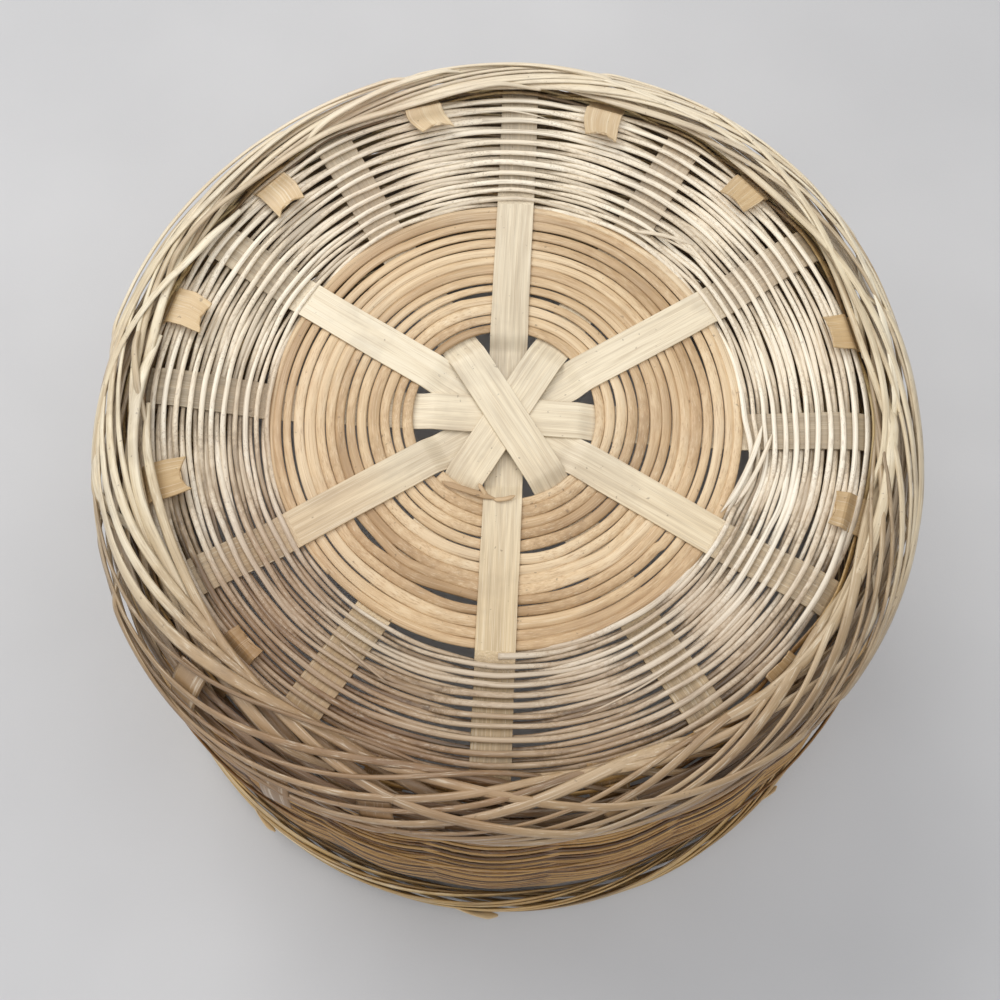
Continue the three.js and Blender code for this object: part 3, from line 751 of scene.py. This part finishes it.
# Stake faces that show where the border's splints part: degrees, first and last reach from the border's middle, in mm
showPlan = {
    "faces": [(222.5, -3, 7), (239, 6, 15), (252.5, 1, 8), (284.5, -1, 6)], "lift": 5.8 * mm, "rise": 0.4 * mm,
    "lean": 1.5, "width": 10 * mm, "thickness": 0.6 * mm, "tone": 0.3, "twist": 0.05,
}


def showRun(angle, first, last):
    plan = showPlan
    offset = plan["lift"] + float(aroundRing(footBorderPlan["bulge"], np.radians(angle)))
    start = (footStation + first * mm, angle, offset)
    end = (footStation + last * mm, angle + plan["lean"], offset)
    return looseRun(
        start, end, plan["rise"], plan["width"], plan["thickness"], plan["tone"], 0.0, plan["twist"], False)


showRuns = [showRun(*face) for face in showPlan["faces"]]
sweptPiece("stake_faces", showRuns, reedSection, "footBorder", [])
for strand in range(basketForm["borderStrands"]):
    for edge, plan in (("foot", footBorderPlan), ("rim", rimBorderPlan)):
        sweptPiece(f"{edge}_splints_{strand + 1}", borderRuns(plan, strand), roundSection, f"{edge}Border",
                   [f"{edge}_border_strand_{strand + 1}"])
print("borders done")

# Flat splints, by hand: one edge drawn out along its path, then given its thickness
splintPlan = {
    "width": 11.5 * mm, "thickness": 0.6 * mm, "columns": 8, "edgeBevel": 0.1 * mm, "layerPitch": 0.68 * mm,
    "overDisc": 0.95 * mm, "stackRadius": 21 * mm, "eyeRadius": 27 * mm, "settleLength": 7 * mm,
    "tabRun": 3 * mm, "tabOffset": 2.8 * mm, "shoulderLength": 70 * mm, "endGap": 0.6 * mm,
    "sections": [10, 6, 12, 18, 12], "tabSections": 6, "edgeWander": 0.012, "sway": 0.15 * mm,
    "tearWander": 0.3 * mm, "tearLean": 0.4, "tearNarrow": 18, "tone": (0.45, 0.85), "toneWander": 0.08,
    "paintedWeaveShade": 0.5, "paintedWeaveShadeFade": 5 * mm, "flattened": 0.001 * mm, "merged": 0.01 * mm,
}
# Each stake's bent-over end, in mm: how far inside the border's middle it comes out, how long it is, how far its tip
# lifts, how deep its torn end is notched
stakeTabs = [
    (5, 5.5, 1.6, 1.2), (5, 7.5, 2.6, 1.6), (5.5, 9, 2.4, 2.4), (5.5, 8.5, 2.6, 2.8), (6.5, 10, 3.6, 3.4),
    (5, 10, 3.4, 1.8), (4.5, 10.5, 3.6, 3.2), (8, 2.5, 0.8, 1), (2, 2, 0.2, 0.4), (3, 2, 0.2, 0.5),
    (2, 2, 0.2, 0.4), (8, 3, 1, 1),
]


def drawSplint(name, path, angle, finish, nodes, seed, tornStart=0.0):
    plan = splintPlan
    bpy.ops.object.select_all(action="DESELECT")
    start = path[0]
    bpy.ops.mesh.primitive_plane_add(size=1, location=(0, 0, 0))
    piece = bpy.context.object
    piece.name = piece.data.name = name
    bpy.ops.object.mode_set(mode="EDIT")
    bpy.ops.mesh.select_all(action="SELECT")
    bpy.ops.transform.resize(value=(plan["flattened"], plan["width"], 1))
    bpy.ops.transform.translate(value=(start[0], 0, start[1]))
    bpy.ops.mesh.remove_doubles(threshold=plan["merged"])
    bpy.ops.mesh.subdivide(number_cuts=plan["columns"] - 1)
    bpy.ops.mesh.select_all(action="SELECT")
    for before, after in zip(path[:-1], path[1:]):
        delta = np.array(after) - np.array(before)
        bpy.ops.mesh.extrude_edges_move(TRANSFORM_OT_translate={"value": (delta[0], 0, delta[1])})
    bpy.ops.object.mode_set(mode="OBJECT")
    shapeSplint(piece, np.array(path), seed, tornStart)
    for kind, settings in (("SOLIDIFY", {"thickness": plan["thickness"], "offset": 0}),
                           ("BEVEL", {"width": plan["edgeBevel"], "segments": 1, "limit_method": "ANGLE"})):
        modifier = piece.modifiers.new(kind.lower(), kind)
        for key, value in settings.items():
            setattr(modifier, key, value)
        bpy.ops.object.modifier_apply(modifier=modifier.name)
    piece.rotation_euler = (0, 0, math.radians(angle))
    bpy.ops.object.transform_apply(location=True, rotation=True, scale=True)
    bpy.ops.object.mode_set(mode="EDIT")
    bpy.ops.mesh.select_all(action="SELECT")
    bpy.ops.mesh.normals_make_consistent(inside=False)
    bpy.ops.object.mode_set(mode="OBJECT")
    settle(piece, finish, nodes)
    return piece


# Uneven edges, a torn end, the map that the grain follows, and a tone with painted shade where the weave lies over
# the splint
def shapeSplint(piece, path, seed, tornStart):
    plan = splintPlan
    mesh = piece.data
    reach = np.concatenate([[0], np.cumsum(np.hypot(*np.diff(path, axis=0).T))])
    co = np.zeros(len(mesh.vertices) * 3)
    mesh.vertices.foreach_get("co", co)
    co = co.reshape(-1, 3)
    nearest = np.argmin((co[:, :1] - path[None, :, 0]) ** 2 + (co[:, 2:] - path[None, :, 1]) ** 2, axis=1)
    along = reach[nearest]
    across = co[:, 1] / plan["width"]
    edge = 1 + wander(seed, along, (90, 210, 470), plan["edgeWander"])
    co[:, 1] = co[:, 1] * edge + wander(seed + 1, along, (30, 70), plan["sway"])
    if tornStart:
        torn = nearest == 0
        notch = tornStart * (1 - np.abs(across * 2) ** 1.4)
        notch = notch + wander(seed + 2, across * 9, (1, 2.7), plan["tearWander"])
        lean = np.random.RandomState(seed + 5).uniform(-plan["tearLean"], plan["tearLean"])
        fromTip = np.clip(plan["settleLength"] - along, 0, None)
        co[:, 1] = co[:, 1] * (1 - plan["tearNarrow"] * fromTip) + lean * fromTip
        direction = (path[2] - path[0]) / np.hypot(*(path[2] - path[0]))
        co[torn, 0] += direction[0] * notch[torn]
        co[torn, 2] += direction[1] * notch[torn]
    mesh.vertices.foreach_set("co", co.ravel())
    while mesh.uv_layers:
        mesh.uv_layers.remove(mesh.uv_layers[0])
    layer = mesh.uv_layers.new(name="strand")
    for loop in mesh.loops:
        layer.data[loop.index].uv = (along[loop.vertex_index] + seed * 0.37, across[loop.vertex_index] + 0.5)
    tone = mesh.attributes.new("tone", "FLOAT", "POINT")
    discEdge = basketForm["discRadius"]
    # Painted shade: splints darken past the disc's edge, where the weave rows lie over them
    paintedWeaveShade = smoothStep(np.abs(path[nearest, 0]), discEdge, discEdge + plan["paintedWeaveShadeFade"])
    shade = np.random.RandomState(seed).uniform(*plan["tone"]) - plan["paintedWeaveShade"] * paintedWeaveShade
    shade = shade + wander(seed + 3, along, (12, 31), plan["toneWander"])
    tone.data.foreach_set("value", np.clip(shade, 0, 1).astype(np.float32))


# The sections of a splint stand closer together on the stretches where it bends
stretchEnds = [
    splintPlan["stackRadius"], splintPlan["eyeRadius"], basketForm["discRadius"], crownStation,
    crownStation + splintPlan["shoulderLength"], mouthStation - splintPlan["endGap"]]
spineSamples = np.concatenate([stretchEnds[:1]] + [
    np.linspace(first, last, count)[1:]
    for first, last, count in zip(stretchEnds[:-1], stretchEnds[1:], splintPlan["sections"])])


def stripPath(level, over):
    plan = splintPlan
    stack = (level - (len(basketForm["levelOrder"]) - 1) / 2) * plan["layerPitch"]
    reed = plan["overDisc"] if over else -plan["overDisc"]
    unstacked = smoothStep(spineSamples, plan["stackRadius"], plan["eyeRadius"])
    settled = smoothStep(spineSamples, basketForm["discRadius"], basketForm["discRadius"] + plan["settleLength"])
    offset = stack * (1 - unstacked) + reed * (unstacked - settled)
    radius, height = spineAt(spineSamples, offset)
    half = list(zip(radius, height))
    return [(-r, z) for r, z in reversed(half)] + half


def stakePath(tabInside, tabLength, tabCurl):
    plan = splintPlan
    tabStart = footStation - tabInside
    outEnd = tabStart - plan["tabRun"]
    share = np.linspace(1, 0, plan["tabSections"])[:-1]
    tab = spineAt(outEnd - tabLength * share, plan["tabOffset"] + tabCurl * share ** 2)
    rising = np.linspace(outEnd, tabStart, plan["tabSections"])
    rise = spineAt(rising, plan["tabOffset"] * (1 - smoothStep(rising, outEnd, tabStart)))
    wall = spineSamples[spineSamples > tabStart + 1 * mm]
    down = spineAt(wall, 0 * wall)
    return [point for part in (tab, rise, down) for point in zip(*part)]


for level, turn in enumerate(basketForm["levelOrder"]):
    drawSplint(f"straw_strip_{level + 1}", stripPath(level, turn % 2 == 1), spokes[turn], "strip",
               [f"base_strip_{level + 1}"], 600 + level)
for number, (angle, tab) in enumerate(zip(stakes, stakeTabs)):
    tabInside, tabLength, tabCurl, notch = (size * mm for size in tab)
    drawSplint(f"stake_splint_{number + 1}", stakePath(tabInside, tabLength, tabCurl), angle, "stake",
               [f"side_stake_{number + 1}"], 700 + number, notch)
print("splints done")


# The hoop keeps its frame shape
hoopLook = {
    "stretch": (30, 30, 900), "tones": [(0.3, (0.3, 0.17, 0.07)), (0.7, (0.6, 0.42, 0.2))],
    "patchScale": 30.0, "patch": 0.4, "patchColour": (0.24, 0.14, 0.07), "relief": 0.1 * mm, "roughness": 0.4,
}


def hoopMaterial(look):
    graph = Graph("hoop_splint")
    place = graph.make("ShaderNodeTexCoord", {}, {}, 3)
    stretched = graph.make("ShaderNodeMapping", {}, {"Vector": place, "Scale": look["stretch"]})
    fibre = graph.noise(stretched, 1.0, 4.0)
    patch = graph.noise(place, look["patchScale"])
    colour = graph.make("ShaderNodeValToRGB", {"stops": look["tones"]}, {0: fibre})
    colour = graph.blend(graph.band(patch, 0.5, 0.7) * look["patch"], colour, look["patchColour"])
    relief = graph.make("ShaderNodeBump", {}, {"Strength": 0.5, "Distance": look["relief"], "Height": fibre})
    return graph.finish(colour, look["roughness"] + fibre * 0.2, relief, 0.1, 0.3)


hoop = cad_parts["rim_hoop"]
hoop.data.materials.clear()
hoop.data.materials.append(hoopMaterial(hoopLook))


# Stage: a pale cloth-covered floor and soft light
clothLook = {
    "size": 6, "weaveScale": 900.0, "broadScale": 5.0, "dark": (0.55, 0.55, 0.56), "pale": (0.6, 0.6, 0.61),
    "relief": 0.2 * mm, "roughness": 0.85,
}


def clothMaterial(look):
    graph = Graph("pale_floor")
    place = graph.make("ShaderNodeTexCoord", {}, {}, 3)
    weave = graph.noise(place, look["weaveScale"], 2.0)
    broad = graph.noise(place, look["broadScale"], 3.0)
    colour = graph.blend(graph.band(broad, 0.3, 0.7), look["dark"], look["pale"])
    relief = graph.make("ShaderNodeBump", {}, {"Strength": 0.25, "Distance": look["relief"], "Height": weave})
    return graph.finish(colour, look["roughness"] + weave * 0.05, relief, 0.0, 0.3)


bpy.ops.object.select_all(action="DESELECT")
bpy.ops.mesh.primitive_plane_add(size=clothLook["size"], location=(0, 0, 0))
floor = bpy.context.object
floor.name = "pale_floor"
floor.data.materials.append(clothMaterial(clothLook))

lightPlan = {
    "window": {"place": (-0.9, 1.2, 1.6), "size": 1.3, "power": 23, "colour": (1.0, 0.98, 0.95)},
    "ceiling": {"place": (0.4, -0.2, 2.2), "size": 2.2, "power": 22, "colour": (1.0, 0.99, 0.98)},
    "fill": {"place": (-1.2, -1.0, 0.9), "size": 1.2, "power": 5, "colour": (0.97, 0.98, 1.0)},
}
lightAim = np.array((0, 0, 0.1))
for name, plan in lightPlan.items():
    bpy.ops.object.light_add(type="AREA", location=plan["place"])
    light = bpy.context.object
    light.name = name
    light.data.size = plan["size"]
    light.data.energy = plan["power"]
    light.data.color = plan["colour"]
    aim = lightAim - np.array(plan["place"])
    light.rotation_euler = (math.atan2(math.hypot(aim[0], aim[1]), -aim[2]), 0, math.atan2(aim[0], -aim[1]) + math.pi)

roomLight = {"Color": (0.9, 0.92, 0.95, 1), "Strength": 0.42}
world = bpy.context.scene.world or bpy.data.worlds.new("room")
bpy.context.scene.world = world
world.use_nodes = True
for key, value in roomLight.items():
    world.node_tree.nodes["Background"].inputs[key].default_value = value

bpy.context.scene.view_settings.view_transform = "Standard"

cameraPlan = {
    "place": (-1.8 * mm, -124.2 * mm, 498.4 * mm), "tilt": 16.6, "lens": 42.0, "sensor": 36, "clipStart": 10 * mm}
bpy.ops.object.camera_add(location=cameraPlan["place"], rotation=(math.radians(cameraPlan["tilt"]), 0, 0))
camera = bpy.context.object
camera.data.lens = cameraPlan["lens"]
camera.data.sensor_width = cameraPlan["sensor"]
camera.data.clip_start = cameraPlan["clipStart"]
bpy.context.scene.camera = camera
print("stage done")
